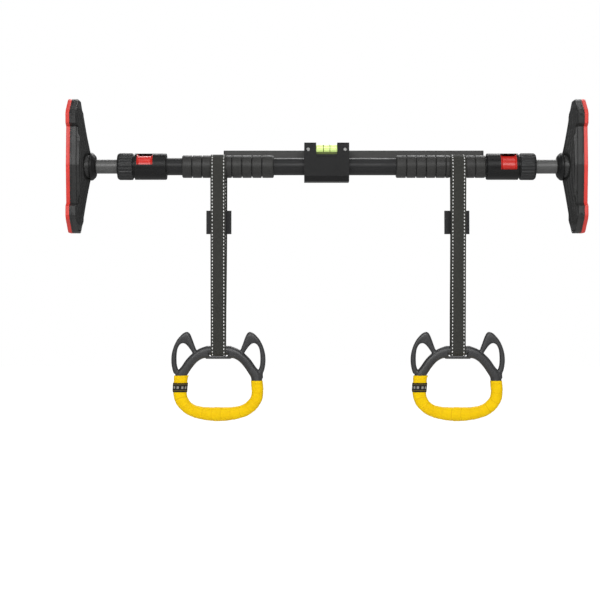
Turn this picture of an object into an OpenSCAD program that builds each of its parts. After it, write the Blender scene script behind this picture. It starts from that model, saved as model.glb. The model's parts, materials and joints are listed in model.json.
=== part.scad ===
// Doorway pull-up bar with a spirit level and two hanging ring slings.
// Origin at the middle of the bar, on its axis. +X along the bar, +Z up, the level faces -Y.

/* [Bar] */
// Outside diameter of the main tube
tube_d = 32; // [31:0.5:33]
// Wall thickness of the main tube
tube_wall = 2; // [1.8:0.1:2.2]
// Length of the main tube
tube_len = 615; // [613:1:616]
// Outside diameter of the foam grips
foam_d = 42; // [40:0.5:43]
// Length of the left foam grip
left_foam_len = 170; // [165:1:175]
// Length of the right foam grip
right_foam_len = 166; // [160:1:166]

/* [Centre housing] */
// Width of the housing along the bar
housing_w = 83; // [80:1:90]
// Width of the gap that the level sits in
level_gap = 39; // [38:0.5:41]
// Diameter of the level's vial
vial_d = 13.6; // [12:0.2:14]

/* [Ends] */
// Distance between the two wall faces at rest
overall_len = 956; // [954:1:962]
// Outside diameter of the collars
collar_d = 49; // [48:0.5:50]
// Outside diameter of the lock nuts
nut_d = 50; // [49:0.5:52]
// Number of ribs around a lock nut
nut_ribs = 24; // [18:1:30]
// Outside diameter of the threaded rods
rod_d = 26; // [25.6:0.1:26]
// Thickness of the anti-slip pads
pad_t = 7; // [6:0.5:7]
// Height of the pressure plates
plate_h = 247; // [240:1:255]
// Angle from the top to the middle of the left button
left_button_angle = 41; // [20:1:70]
// Angle from the top to the middle of the right button
right_button_angle = 62; // [20:1:70]

/* [Slings] */
// Width of the webbing
strap_w = 28; // [25:0.5:30]
// Thickness of the webbing
strap_t = 2; // [1.5:0.1:2]
// Distance from the bar's axis down to the rings' crossbars
sling_drop = 341.8; // [330:1:380]
// Place of the left sling along the bar
left_sling_x = -201; // [-215:1:-190]
// Place of the right sling along the bar
right_sling_x = 244; // [200:1:255]
// Diameter of the crossbar at the top of a ring
crossbar_d = 17; // [16:0.5:17]
// Width of a ring across its ears
ring_w = 176; // [175:0.5:177]
// Thickness of the grip wrap
wrap_t = 1.6; // [1.2:0.1:1.8]

/* [Hidden] */

$fn = 64;
run = 0.05;      // radial clearance of a running fit
gap = 0.3;       // clearance between parts that move
cut = 1;         // how far a cutter passes a face

tube_r = tube_d / 2;
bore_r = tube_r - tube_wall;
tube_end = tube_len / 2;
foam_r = foam_d / 2;
rod_r = rod_d / 2;
collar_r = collar_d / 2;

// places along one end, measured outward from the bar's middle
collar_in = 297;
collar_out = 356;
shell_t = 3.9;
shell_r = collar_r - shell_t;
spigot_r = 21;
spigot_end = 370;
nut_in = 359;
nut_out = 388;
window_in = 322;
window_out = 352;
window_half = 17;
hub_in = 427.5;
hub_out = 438.5;
pad_out = overall_len / 2;
pad_in = pad_out - pad_t;
rod_in = 225;
bush_in = 205;
key_r = bore_r - 0.8;

// snap rings and their grooves
ring_t = 1.7;
ring_in_r = tube_r - 0.85;
ring_out_r = tube_r + 2.4;
ring_places = [collar_in + 0.3, collar_in + 7.3];

// colours
steel = [0.25, 0.25, 0.25];
bright = [0.75, 0.75, 0.76];
black = [0.13, 0.13, 0.13];
grey = [0.22, 0.22, 0.22];
foam_c = [0.28, 0.28, 0.28];
red = [0.80, 0.18, 0.16];
yellow = [0.98, 0.80, 0.06];

// ---- helpers ----

// A round bar along X
module bar_x(r, x0, x1) {
    translate([x0, 0, 0]) rotate([0, 90, 0]) cylinder(h = x1 - x0, r = r);
}

// A tube along X
module tube_x(r_out, r_in, x0, x1) {
    difference() {
        bar_x(r_out, x0, x1);
        bar_x(r_in, x0 - cut, x1 + cut);
    }
}

// A turned piece on the X axis, from points [radius, x]
module turned_x(profile) {
    rotate([0, 90, 0]) rotate_extrude() polygon(profile);
}

// A profile of [y, z] points, extruded along X
module extruded_x(profile, x0, x1) {
    translate([x0, 0, 0]) rotate([90, 0, 90]) linear_extrude(height = x1 - x0) polygon(profile);
}

// Mirrors an end's pieces to the left
module at_end(side) {
    mirror([side < 0 ? 1 : 0, 0, 0]) children();
}

// Turns Z to the middle of a button
module toward_button(angle) {
    rotate([angle, 0, 0]) children();
}

// ---- bar ----

module main_tube() {
    color(steel) difference() {
        union() {
            tube_x(tube_r, bore_r, -tube_end, tube_end);
            for (side = [-1, 1]) at_end(side) guide_key();
        }
        for (side = [-1, 1], x = ring_places) at_end(side)
            tube_x(tube_r + cut, ring_in_r - run, x - 0.1, x + ring_t + 0.1);
    }
}

// A bead inside the tube that keeps the rod from turning
module guide_key() {
    intersection() {
        tube_x(bore_r + 0.5, key_r, 150, 290);
        translate([140, -1.3, -tube_r]) cube([160, 2.6, tube_r]);
    }
}

// Outline of a grooved foam grip as [radius, x] points
function foam_profile(x0, len, first, pitch) =
    let (deep = 1.3, half = 1.25, chamfer = 1.6, x1 = x0 + len, r_in = tube_r + run)
    concat([[r_in, x0], [foam_r - chamfer, x0], [foam_r, x0 + chamfer]],
        [for (i = [0 : 7], p = [[0, -half], [deep, 0.2 - half], [deep, half - 0.2], [0, half]])
            [foam_r - p[0], first + i * pitch + p[1]]],
        [[foam_r, x1 - chamfer], [foam_r - chamfer, x1], [r_in, x1]]);

module left_foam_grip() {
    color(foam_c) turned_x(foam_profile(-98 - left_foam_len, left_foam_len, -249.5, 18.5));
}

module right_foam_grip() {
    color(foam_c) turned_x(foam_profile(129, right_foam_len, 148, 18.2));
}

// ---- centre housing ----

housing_half = housing_w / 2;
gap_half = level_gap / 2;
rail_y = [25, 33];
rail_z = [12, 32.5];
rail_x = [-192.5, 295];
screw_x = 34;
screw_z = 30;
low_screw_z = -22;
vial_y = -15;
vial_z = 32.2;
front_profile = [[-26, 21], [-26, -19], [-19, -28.5], [-0.15, -28.5], [-0.15, 21]];
tab_profile = [[-26, 20], [-26, 40], [-23.5, 42.6], [-4, 42.6], [-0.15, 38], [-0.15, 20]];
rear_profile = [[0.15, -28.5], [22, -28.5], [37, -12], [37, 33], [33.5, 36], [0.15, 36]];

module housing_front() {
    color(black) difference() {
        union() {
            extruded_x(front_profile, -housing_half, housing_half);
            for (side = [-1, 1]) at_end(side) extruded_x(tab_profile, gap_half, housing_half);
        }
        bar_x(tube_r + run, -housing_half - cut, housing_half + cut);
        translate([-18, -26 - cut, -9.5]) cube([36, cut + 0.8, 26.5]);
        for (x = [-screw_x, screw_x]) {
            screw_path(x, screw_z, -40, 0) cylinder(h = 60, r = 2.1);
            screw_path(x, screw_z, -40, 0) cylinder(h = 17, r = 3.6);
            screw_path(x, low_screw_z, -16, 0) cylinder(h = 40, r = 2.1);
        }
    }
}

// Puts a cutter or a screw on a screw's axis, pointing to +Y
module screw_path(x, z, y, turn) {
    translate([x, y, z]) rotate([-90 + turn, 0, 0]) children();
}

module housing_rear() {
    color(black) difference() {
        extruded_x(rear_profile, -housing_half, housing_half);
        bar_x(tube_r + run, -housing_half - cut, housing_half + cut);
        translate([-housing_half - cut, rail_y[0] - 0.1, rail_z[0] - 0.1])
            cube([housing_w + 2 * cut, rail_y[1] - rail_y[0] + 0.2, rail_z[1] - rail_z[0] + 0.2]);
        for (x = [-screw_x, screw_x]) {
            screw_path(x, screw_z, -cut, 0) cylinder(h = 17, r = 2.1);
            screw_path(x, low_screw_z, -cut, 0) cylinder(h = 60, r = 2.1);
            screw_path(x, low_screw_z, 20, 0) cylinder(h = 30, r = 3.6);
        }
    }
}

// A pan head screw along Z with a cross recess
module pan_screw(len) {
    difference() {
        union() {
            cylinder(h = len, r = 2);
            cylinder(h = 2.4, r = 2.9);
        }
        for (turn = [0, 90]) rotate(turn) translate([-1.8, -0.4, -cut]) cube([3.6, 0.8, cut + 1.2]);
    }
}

module housing_screws() {
    color(bright) for (x = [-screw_x, screw_x]) {
        screw_path(x, screw_z, -25.4, 0) pan_screw(38);
        screw_path(x, low_screw_z, 22.4, 180) pan_screw(36);
    }
}

module level_vial() {
    color([0.80, 0.95, 0.35]) translate([0, vial_y, vial_z])
        bar_x(vial_d / 2, -gap_half + 0.1, gap_half - 0.1);
}

module level_rings() {
    color(black) translate([0, vial_y, vial_z]) for (x = [-6.5, 5.5])
        tube_x(vial_d / 2 + 0.35, vial_d / 2 + 0.02, x, x + 1);
}

module level_cradle() {
    color([0.85, 0.9, 0.75]) difference() {
        translate([-gap_half + 0.1, -19, 21.1]) cube([level_gap - 0.2, 16, 17.4]);
        translate([0, vial_y, vial_z]) bar_x(vial_d / 2 + 0.5, -gap_half - cut, gap_half + cut);
        translate([-gap_half - cut, -40, 25.5]) cube([level_gap + 2 * cut, 25, 20]);
    }
}

// ---- rail behind the bar ----

rail_chamfer = 2;
rail_profile = let (a = rail_chamfer, y0 = rail_y[0], y1 = rail_y[1], z0 = rail_z[0], z1 = rail_z[1])
    [[y0 + a, z0], [y1 - a, z0], [y1, z0 + a], [y1, z1 - a],
        [y1 - a, z1], [y0 + a, z1], [y0, z1 - a], [y0, z0 + a]];

module back_rail() {
    color(grey) extruded_x(rail_profile, rail_x[0] + 3, rail_x[1] - 3);
}

module rail_end_caps() {
    color(black) {
        extruded_x(rail_profile, rail_x[0], rail_x[0] + 2.95);
        extruded_x(rail_profile, rail_x[1] - 2.95, rail_x[1]);
    }
}

module rail_saddles() {
    color(black) difference() {
        for (x = [-84, 96]) translate([x, 9, -6]) cube([12, rail_y[0] - 9.05, 24]);
        bar_x(tube_r + run, -120, 120);
    }
}

module snap_rings() {
    color(bright) difference() {
        for (side = [-1, 1], x = ring_places) at_end(side)
            tube_x(ring_out_r, ring_in_r, x, x + ring_t);
        translate([-tube_end, 0, -tube_r - 5]) cube([tube_len, 4, tube_r]);
    }
}

// ---- ends ----

module collar(side, angle) {
    color(black) at_end(side) difference() {
        union() {
            turned_x([[17, collar_in], [collar_r - 1.2, collar_in], [collar_r, collar_in + 1.2],
                [collar_r, collar_out - 0.8], [collar_r - 0.8, collar_out], [17, collar_out]]);
            tube_x(spigot_r, 17, collar_out - 2, spigot_end);
            tube_x(17.5, rod_r + 0.4, collar_out - 3, collar_out);
            tube_x(17.5, tube_r + run, collar_in + 2.5, collar_in + 6.9);
        }
        bar_x(19.2, collar_in - cut, collar_in + 2.5);
        bar_x(shell_r, collar_in + 6.9, collar_out - 3);
        toward_button(angle) translate([window_in, -window_half, 0])
            cube([window_out - window_in, 2 * window_half, 40]);
        toward_button(angle) translate([collar_in + 10, 0, collar_r + 0.4])
            rotate([0, 45, 0]) cube([2.4, 3, 2.4], center = true);
    }
}

module drive_nut(side) {
    color("goldenrod") at_end(side) tube_x(shell_r - run, rod_r + run, 308.5, 320.5);
}

// The button's face lies below the collar's surface, between two sloping cheeks
module button(side, angle) {
    color(red) at_end(side) intersection() {
        turned_x([[17, window_in + gap], [22.6, window_in + gap], [22.6, window_in + 1.2],
            [19.6, window_in + 3.8], [19.6, window_out - 3.8], [22.6, window_out - 1.2],
            [22.6, window_out - gap], [17, window_out - gap]]);
        toward_button(angle) translate([window_in, gap - window_half, 8])
            cube([window_out - window_in, 2 * (window_half - gap), 20]);
    }
}

latch_travel = 2.2;

module latch_ring(side, angle) {
    color("silver") at_end(side) toward_button(angle) difference() {
        bar_x(16.9, 330, 344);
        bar_x(rod_r + 0.4, 329, 345);
        translate([0, 0, latch_travel]) bar_x(rod_r + 0.4, 329, 345);
        translate([329, 0.1 - rod_r - 0.4, 0]) cube([16, 2 * (rod_r + 0.3), latch_travel]);
    }
}

module button_spring(side, angle) {
    bend_r = 30;
    color("silver") at_end(side) toward_button(angle) intersection() {
        translate([0, 0, bend_r - 17.1]) tube_x(bend_r + 0.5, bend_r, 333, 341);
        translate([330, -15.2, -25]) cube([14, 30.4, 15]);
    }
}

// A split sleeve inside the lock nut, with a flange that the nut presses on
module collet(side) {
    color("silver") at_end(side) difference() {
        turned_x([[rod_r + 0.3, 358.8], [15.6, 358.8], [16.7, 362], [16.7, 372.5], [19.4, 372.5],
            [19.4, 379.4], [rod_r + 0.3, 379.4]]);
        for (turn = [0, 90]) rotate([turn, 0, 0]) translate([357, -0.75, -20]) cube([12, 1.5, 40]);
    }
}

// Ribbed outline of the lock nut
function rib_outline(n, r_out, r_in) = [for (i = [0 : n - 1],
    p = [[-0.32, r_in], [-0.2, r_out], [0.2, r_out], [0.32, r_in]])
    let (a = (i + p[0]) * 360 / n) p[1] * [cos(a), sin(a)]];

module lock_nut(side) {
    nut_r = nut_d / 2;
    color(black) at_end(side) difference() {
        intersection() {
            translate([nut_in, 0, 0]) rotate([0, 90, 0])
                linear_extrude(height = nut_out - nut_in)
                    polygon(rib_outline(nut_ribs, nut_r, nut_r - 0.9));
            turned_x([[0, nut_in], [nut_r - 1.4, nut_in], [nut_r, nut_in + 1.4],
                [nut_r, nut_out - 2.2], [nut_r - 2.6, nut_out], [0, nut_out]]);
        }
        bar_x(spigot_r + run, nut_in - cut, 379.8);
        bar_x(rod_r + 0.5, nut_in - cut, nut_out + cut);
    }
}

module rod(side) {
    color(steel) at_end(side) difference() {
        union() {
            bar_x(rod_r, rod_in, hub_out - 0.6);
            bar_x(11, bush_in, rod_in + cut);
        }
        bar_x(9.5, bush_in - cut, 416);
        bar_x(5.1, 410, 450);
    }
}

module guide_bush(side) {
    color("white") at_end(side) difference() {
        tube_x(bore_r - 0.08, 11 + run, bush_in + 0.5, rod_in - 0.3);
        translate([bush_in, -1.7, -tube_r]) cube([30, 3.4, tube_r - bore_r + 1.15]);
    }
}

module hub(side) {
    color(black) at_end(side) turned_x([[rod_r + run, hub_in], [14.6, hub_in], [19.2, hub_in + 0.9],
        [21.2, 430], [24.8, 433.6], [26, 436.5], [26, hub_out - 0.1], [rod_r + run, hub_out - 0.1]]);
}

// ---- pressure plate ----

plate_half = plate_h / 2;
plate_edge = pad_in - 12;
// one quarter of the outline, from the top to the middle, as [y, z] points
plate_quarter = [[16, plate_half], [22, plate_half - 3], [50, 100], [55, 93], [54, 76],
    [44, 70], [50, 0]];

function plate_outline() = concat(
    [for (p = plate_quarter) p],
    [for (i = [len(plate_quarter) - 2 : -1 : 0]) [plate_quarter[i][0], -plate_quarter[i][1]]],
    [for (p = plate_quarter) [-p[0], -p[1]]],
    [for (i = [len(plate_quarter) - 2 : -1 : 0]) [-plate_quarter[i][0], plate_quarter[i][1]]]);

module plate_slab(x0, x1) {
    extruded_x(plate_outline(), x0, x1);
}

// One rib from the hub out to a point of the rim, as wide at its foot as it is given
module plate_rib(y, z, wide, foot_x, crest_x) {
    hull() {
        translate([hub_out, 0, 0]) rotate([0, 90, 0]) cylinder(h = 2, r = 19, $fn = 32);
        translate([crest_x, y, z]) cube([2, wide, wide], center = true);
        translate([foot_x, y, z]) cube([2, wide + 6, wide + 4], center = true);
    }
}

module plate(side) {
    color(black) at_end(side) difference() {
        union() {
            plate_slab(plate_edge, pad_in);
            hull() {
                translate([441, 0, 0]) rotate([0, 90, 0]) cylinder(h = 2, r = 17, $fn = 32);
                extruded_x([[34, 60], [40, 0], [34, -60], [-34, -60], [-40, 0], [-34, 60]],
                    plate_edge, plate_edge + 1);
                extruded_x([[13, 116], [13, -116], [-13, -116], [-13, 116]],
                    plate_edge, plate_edge + 1);
            }
            for (s = [-1, 1], t = [-1, 1]) {
                plate_rib(s * 42, t * 84, 7, plate_edge, plate_edge - 3);
                plate_rib(s * 45, t * 22, 5, plate_edge, plate_edge - 4);
            }
            for (t = [-1, 1]) plate_rib(0, t * (plate_half - 12), 20, plate_edge, plate_edge - 2);
        }
        bar_x(5.5, 430, 480);
        bar_x(10, pad_in - 9.2, 480);
    }
}

module plate_bolt(side) {
    color(bright) at_end(side) {
        difference() {
            union() {
                bar_x(5, 420, pad_in - 8);
                bar_x(9, pad_in - 9, pad_in - 3);
            }
            translate([pad_in - 6, 0, 0]) rotate([0, 90, 0]) cylinder(h = 10, r = 4.2, $fn = 6);
        }
    }
}

module pad(side) {
    color(red) at_end(side) plate_slab(pad_in, pad_out);
}

// ---- slings ----

strap_gap = 0.3;
top_r = foam_r + strap_gap;
low_r = crossbar_d / 2 + strap_gap;
lean = asin((top_r - low_r) / sling_drop);

// The loop around the grip and the crossbar, as [y, z] points, with radii grown by t
function loop_outline(t) = concat(
    [for (i = [0 : 24]) let (a = -lean + i * (180 + 2 * lean) / 24) (top_r + t) * [cos(a), sin(a)]],
    [for (i = [0 : 16]) let (a = 180 + lean + i * (180 - 2 * lean) / 16)
        [0, -sling_drop] + (low_r + t) * [cos(a), sin(a)]]);

module strap(x) {
    color([0.24, 0.24, 0.24]) difference() {
        extruded_x(loop_outline(strap_t), x - strap_w / 2, x + strap_w / 2);
        extruded_x(loop_outline(0), x - strap_w, x + strap_w);
    }
}

// Buckle frame: on the middle of the webbing's rear leg, with the webbing's lean
buckle_z = -103;
leg_r = top_r + strap_t / 2;
buckle_y = leg_r / cos(lean) + buckle_z * tan(lean);

module at_buckle(x) {
    translate([x, buckle_y, buckle_z]) rotate([-lean, 0, 0]) children();
}

buckle_w = 47;
buckle_h = 44;
cheek_in = 16;
cheek_out = 18.5;
pin_y = 8;
pin_z = 6;
pin_r = 2;

// A round bar along X through [y, z] of the buckle frame
module cross_bar(r, y, z, half) {
    translate([0, y, z]) bar_x(r, -half, half);
}

module buckle(x) {
    color(black) at_buckle(x) difference() {
        union() {
            translate([-buckle_w / 2, -3.2, -buckle_h / 2]) cube([buckle_w, 1.9, buckle_h]);
            for (s = [-1, 1]) at_end(s) extruded_x([[-2, -20], [2, -20], [12.5, -2],
                [12.5, 20], [-2, 20]], cheek_in, cheek_out);
            translate([-cheek_out, 10.2, 14]) cube([2 * cheek_out, 2.3, 6]);
        }
        cross_bar(pin_r, pin_y, pin_z, 30);
    }
}

module buckle_pin(x) {
    color(bright) at_buckle(x) {
        cross_bar(pin_r - 0.03, pin_y, pin_z, cheek_out + 0.8);
        for (s = [-1, 1]) translate([s > 0 ? cheek_out + 0.8 : -cheek_out - 2, pin_y, pin_z])
            bar_x(3, 0, 1.2);
    }
}

lever_half = 14.2;

module cam_lever(x) {
    color(black) at_buckle(x) difference() {
        union() {
            cross_bar(4.4, pin_y, pin_z, lever_half);
            cross_bar(3, 4.6, 1.8, lever_half);
            extruded_x([[6, 6], [5, 1], [7.6, -19], [10.6, -21], [11.6, -19], [12, 4]],
                -lever_half, lever_half);
        }
        cross_bar(pin_r + run, pin_y, pin_z, 30);
        translate([0, 10, -17]) for (z = [0, 3, 6]) translate([-9, 0.9, z]) cube([18, 4, 1.2]);
    }
}

module cam_spring(x) {
    color(bright) at_buckle(x) translate([lever_half + 0.3, pin_y, pin_z])
        tube_x(3.2, pin_r + 0.1, 0, cheek_in - lever_half - 0.5);
}

// ---- rings ----

// Middle line of one half of the hand ring, from its top to its foot:
// [distance from the middle, z, half width, half depth]
half_line = [[21, -344.9, 11.2, 8.6], [32, -347.6, 9.8, 8.8], [43.4, -354.8, 8.9, 8.8],
    [53, -364.6, 8.9, 8.9], [62, -377.5, 8.9, 9], [70, -389, 10.2, 9.2], [71.6, -402, 10, 9.6],
    [72.6, -419, 9.7, 10], [70.2, -432, 9.7, 10], [62.3, -443.5, 9.9, 10],
    [50, -452.6, 10, 10.2], [34, -457.6, 10.4, 10.6], [17, -459.8, 11.2, 11]];
ring_line = concat(half_line, [[0, -460.3, 11.9, 11]],
    [for (i = [len(half_line) - 1 : -1 : 0]) let (p = half_line[i]) [-p[0], p[1], p[2], p[3]]]);
// Middle line of one ear, from its inner foot over its tip to its outer foot
ear_line = [[44, -348.5, 4.6, 6], [46.5, -339, 4.8, 6.2], [52, -328, 5.8, 6.5],
    [61, -317.6, 9.9, 6.5], [74.2, -328, 5.6, 6.5], [81.2, -343.8, 4, 6.5],
    [83.6, -362, 4.4, 6.8], [80.6, -378, 5.8, 7.5], [76.8, -381.8, 4.2, 7.6]];
// stations of ring_line where the wrap begins and ends, and the two that the band lies between
right_wrap_start = 6;
left_wrap_end = len(ring_line) - 6;
band_stations = [len(ring_line) - 8, len(ring_line) - 7];

// Direction of a line at a station, in degrees from X towards -Z
function heading(line, i) = let (a = line[max(i - 1, 0)], b = line[min(i + 1, len(line) - 1)])
    atan2(a[1] - b[1], b[0] - a[0]);

// An oval of n points across a line at a station, grown all round
function oval(line, i, grow, n) = let (p = line[i], h = heading(line, i))
    [for (k = [0 : n - 1]) let (a = 360 * k / n, w = (p[2] + grow) * cos(a))
        [p[0] + w * sin(h), (p[3] + grow) * sin(a), p[1] + w * cos(h)]];

// Side faces between the ovals, n points each, that start at a point number
function side_faces(ovals, n, first) = [for (i = [0 : ovals - 2], k = [0 : n - 1])
    let (a = first + i * n + k, b = first + i * n + (k + 1) % n) [a, b, b + n, a + n]];

function flipped(faces) = [for (f = faces) [for (i = [len(f) - 1 : -1 : 0]) f[i]]];

sides = 16;

// A solid sweep along a line
module swept(line, grow = 0) {
    ovals = len(line);
    polyhedron(
        points = [for (i = [0 : ovals - 1]) each oval(line, i, grow, sides)],
        faces = concat(side_faces(ovals, sides, 0),
            [[for (k = [sides - 1 : -1 : 0]) k],
                [for (k = [0 : sides - 1]) (ovals - 1) * sides + k]]));
}

// A skin between two offsets of a line, from one station to another
module skin(line, from, to, inner, outer) {
    ovals = to - from + 1;
    inside = ovals * sides;
    polyhedron(
        points = [for (g = [outer, inner], i = [from : to]) each oval(line, i, g, sides)],
        faces = concat(side_faces(ovals, sides, 0), flipped(side_faces(ovals, sides, inside)),
            [for (k = [0 : sides - 1]) let (m = (k + 1) % sides) [m, k, k + inside, m + inside]],
            [for (k = [0 : sides - 1])
                let (e = (ovals - 1) * sides, m = (k + 1) % sides)
                    [k + e, m + e, m + e + inside, k + e + inside]]));
}

module ring(x) {
    color(grey) translate([x, 0, 0]) resize([ring_w, 0, 0]) union() {
        swept(ring_line);
        for (s = [-1, 1]) at_end(s) swept(ear_line);
        translate([-23, -5, -357.2]) cube([46, 10, 4]);
    }
}

// The bar that the webbing goes around, with its ends moulded into the ring
module ring_bar(x) {
    color(grey) translate([x, 0, -sling_drop]) bar_x(crossbar_d / 2, -22.5, 22.5);
}

module ring_wrap(x) {
    color(yellow) translate([x, 0, 0])
        skin(ring_line, right_wrap_start, left_wrap_end, 0.06, wrap_t);
}

module ring_band(x) {
    color(black) translate([x, 0, 0])
        skin(ring_line, band_stations[0], band_stations[1], wrap_t + 0.12, wrap_t + 0.75);
}

// ---- drawing ----

main_tube();
left_foam_grip();
right_foam_grip();
housing_front();
housing_rear();
housing_screws();
level_vial();
level_rings();
level_cradle();
back_rail();
rail_end_caps();
rail_saddles();
snap_rings();

collar(-1, left_button_angle);  // left_collar
drive_nut(-1);  // left_drive_nut
button(-1, left_button_angle);  // left_button
latch_ring(-1, left_button_angle);  // left_latch_ring
button_spring(-1, left_button_angle);  // left_button_spring
collet(-1);  // left_collet
lock_nut(-1);  // left_lock_nut
rod(-1);  // left_rod
guide_bush(-1);  // left_guide_bush
hub(-1);  // left_hub
plate(-1);  // left_plate
plate_bolt(-1);  // left_plate_bolt
pad(-1);  // left_pad

collar(1, right_button_angle);  // right_collar
drive_nut(1);  // right_drive_nut
button(1, right_button_angle);  // right_button
latch_ring(1, right_button_angle);  // right_latch_ring
button_spring(1, right_button_angle);  // right_button_spring
collet(1);  // right_collet
lock_nut(1);  // right_lock_nut
rod(1);  // right_rod
guide_bush(1);  // right_guide_bush
hub(1);  // right_hub
plate(1);  // right_plate
plate_bolt(1);  // right_plate_bolt
pad(1);  // right_pad

strap(left_sling_x);  // left_strap
buckle(left_sling_x);  // left_buckle
buckle_pin(left_sling_x);  // left_buckle_pin
cam_lever(left_sling_x);  // left_cam_lever
cam_spring(left_sling_x);  // left_cam_spring
ring(left_sling_x);  // left_ring
ring_bar(left_sling_x);  // left_ring_bar
ring_wrap(left_sling_x);  // left_ring_wrap
ring_band(left_sling_x);  // left_ring_band

strap(right_sling_x);  // right_strap
buckle(right_sling_x);  // right_buckle
buckle_pin(right_sling_x);  // right_buckle_pin
cam_lever(right_sling_x);  // right_cam_lever
cam_spring(right_sling_x);  // right_cam_spring
ring(right_sling_x);  // right_ring
ring_bar(right_sling_x);  // right_ring_bar
ring_wrap(right_sling_x);  // right_ring_wrap
ring_band(right_sling_x);  // right_ring_band
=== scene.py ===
"""The looks of the doorway pull-up bar with two hanging ring slings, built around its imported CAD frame.

Every object is in metres, with the origin at the bar's middle, +X along the bar, +Z up and the level
facing -Y.
"""

import json
import math

import bmesh
import bpy
import numpy as np
from mathutils import Matrix, Vector


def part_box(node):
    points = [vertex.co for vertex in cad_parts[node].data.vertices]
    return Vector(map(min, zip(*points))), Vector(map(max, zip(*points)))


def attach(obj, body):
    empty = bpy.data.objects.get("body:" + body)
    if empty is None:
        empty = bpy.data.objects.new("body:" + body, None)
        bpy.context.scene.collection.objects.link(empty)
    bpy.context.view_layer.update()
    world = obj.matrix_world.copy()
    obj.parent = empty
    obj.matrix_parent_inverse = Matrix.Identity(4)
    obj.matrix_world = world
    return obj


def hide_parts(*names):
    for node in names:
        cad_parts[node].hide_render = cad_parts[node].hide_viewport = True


MM = 0.001
SIDES = (("left", -1), ("right", 1))

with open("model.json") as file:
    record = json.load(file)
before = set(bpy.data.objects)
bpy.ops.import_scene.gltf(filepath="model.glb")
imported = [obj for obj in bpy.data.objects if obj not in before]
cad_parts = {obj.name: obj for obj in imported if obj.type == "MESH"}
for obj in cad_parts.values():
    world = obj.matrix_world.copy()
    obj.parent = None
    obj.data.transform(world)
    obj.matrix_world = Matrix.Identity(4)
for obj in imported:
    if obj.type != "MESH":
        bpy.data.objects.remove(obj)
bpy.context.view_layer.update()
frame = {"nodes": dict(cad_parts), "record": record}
nodes = frame["nodes"]
scene = bpy.context.scene


# ---- camera, floor and light ----

CAMERA_PLACE = (-0.0493, -3.0, -0.248)
SEEN_WIDTH = 1.116  # metres across the picture at the bar
SENSOR = 36
FLOOR_Z = -2.05  # the bar hangs about as high as in a door frame


def make_camera():
    data = bpy.data.cameras.new("camera")
    data.sensor_width = SENSOR
    data.lens = SENSOR * -CAMERA_PLACE[1] / SEEN_WIDTH
    data.clip_start, data.clip_end = 0.05, 200
    camera = bpy.data.objects.new("camera", data)
    camera.location = CAMERA_PLACE
    camera.rotation_euler = (math.pi / 2, 0, 0)
    scene.collection.objects.link(camera)
    scene.camera = camera


def area_light(name, place, aim, size, power):
    data = bpy.data.lights.new(name, "AREA")
    data.shape = "RECTANGLE"
    data.size, data.size_y = size
    data.energy = power
    lamp = bpy.data.objects.new(name, data)
    lamp.location = place
    lamp.rotation_euler = (Vector(aim) - Vector(place)).to_track_quat("-Z", "Y").to_euler()
    scene.collection.objects.link(lamp)


def make_studio():
    world = bpy.data.worlds.new("studio")
    scene.world = world
    world.use_nodes = True
    tree = world.node_tree
    tree.nodes.clear()
    out = tree.nodes.new("ShaderNodeOutputWorld")
    mix = tree.nodes.new("ShaderNodeMixShader")
    rays = tree.nodes.new("ShaderNodeLightPath")
    seen = tree.nodes.new("ShaderNodeBackground")
    glow = tree.nodes.new("ShaderNodeBackground")
    seen.inputs["Color"].default_value = (1, 1, 1, 1)
    seen.inputs["Strength"].default_value = 1.0
    glow.inputs["Color"].default_value = (0.96, 0.98, 1, 1)
    glow.inputs["Strength"].default_value = 0.2
    tree.links.new(rays.outputs["Is Camera Ray"], mix.inputs["Fac"])
    tree.links.new(glow.outputs[0], mix.inputs[1])
    tree.links.new(seen.outputs[0], mix.inputs[2])
    tree.links.new(mix.outputs[0], out.inputs["Surface"])
    area_light("key_light", (-0.4, -4.3, 1.9), (0, 0, 0), (4.4, 1.5), 155)
    area_light("top_light", (0.2, -0.9, 3.4), (0, 0, -0.1), (2.6, 1.2), 22)
    area_light("back_light", (0.4, 3.0, 2.7), (0, 0, -0.1), (3.0, 1.2), 75)
    area_light("left_light", (-3.4, -0.4, 0.5), (-0.4, 0, 0), (1.6, 1.6), 14)
    area_light("right_light", (3.4, -0.4, 0.5), (0.4, 0, 0), (1.6, 1.6), 14)
    area_light("low_light", (0.2, -2.6, -1.5), (0, 0, -0.3), (2.4, 0.8), 6)
    points = [(x, y, FLOOR_Z) for x in (-40, 40) for y in (-40, 40)]
    floor = make_piece("studio_floor", points, [[0, 2, 3, 1]], floor_paint(), smooth=False)
    scene.view_settings.view_transform = "Standard"


# ---- node tools ----


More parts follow.
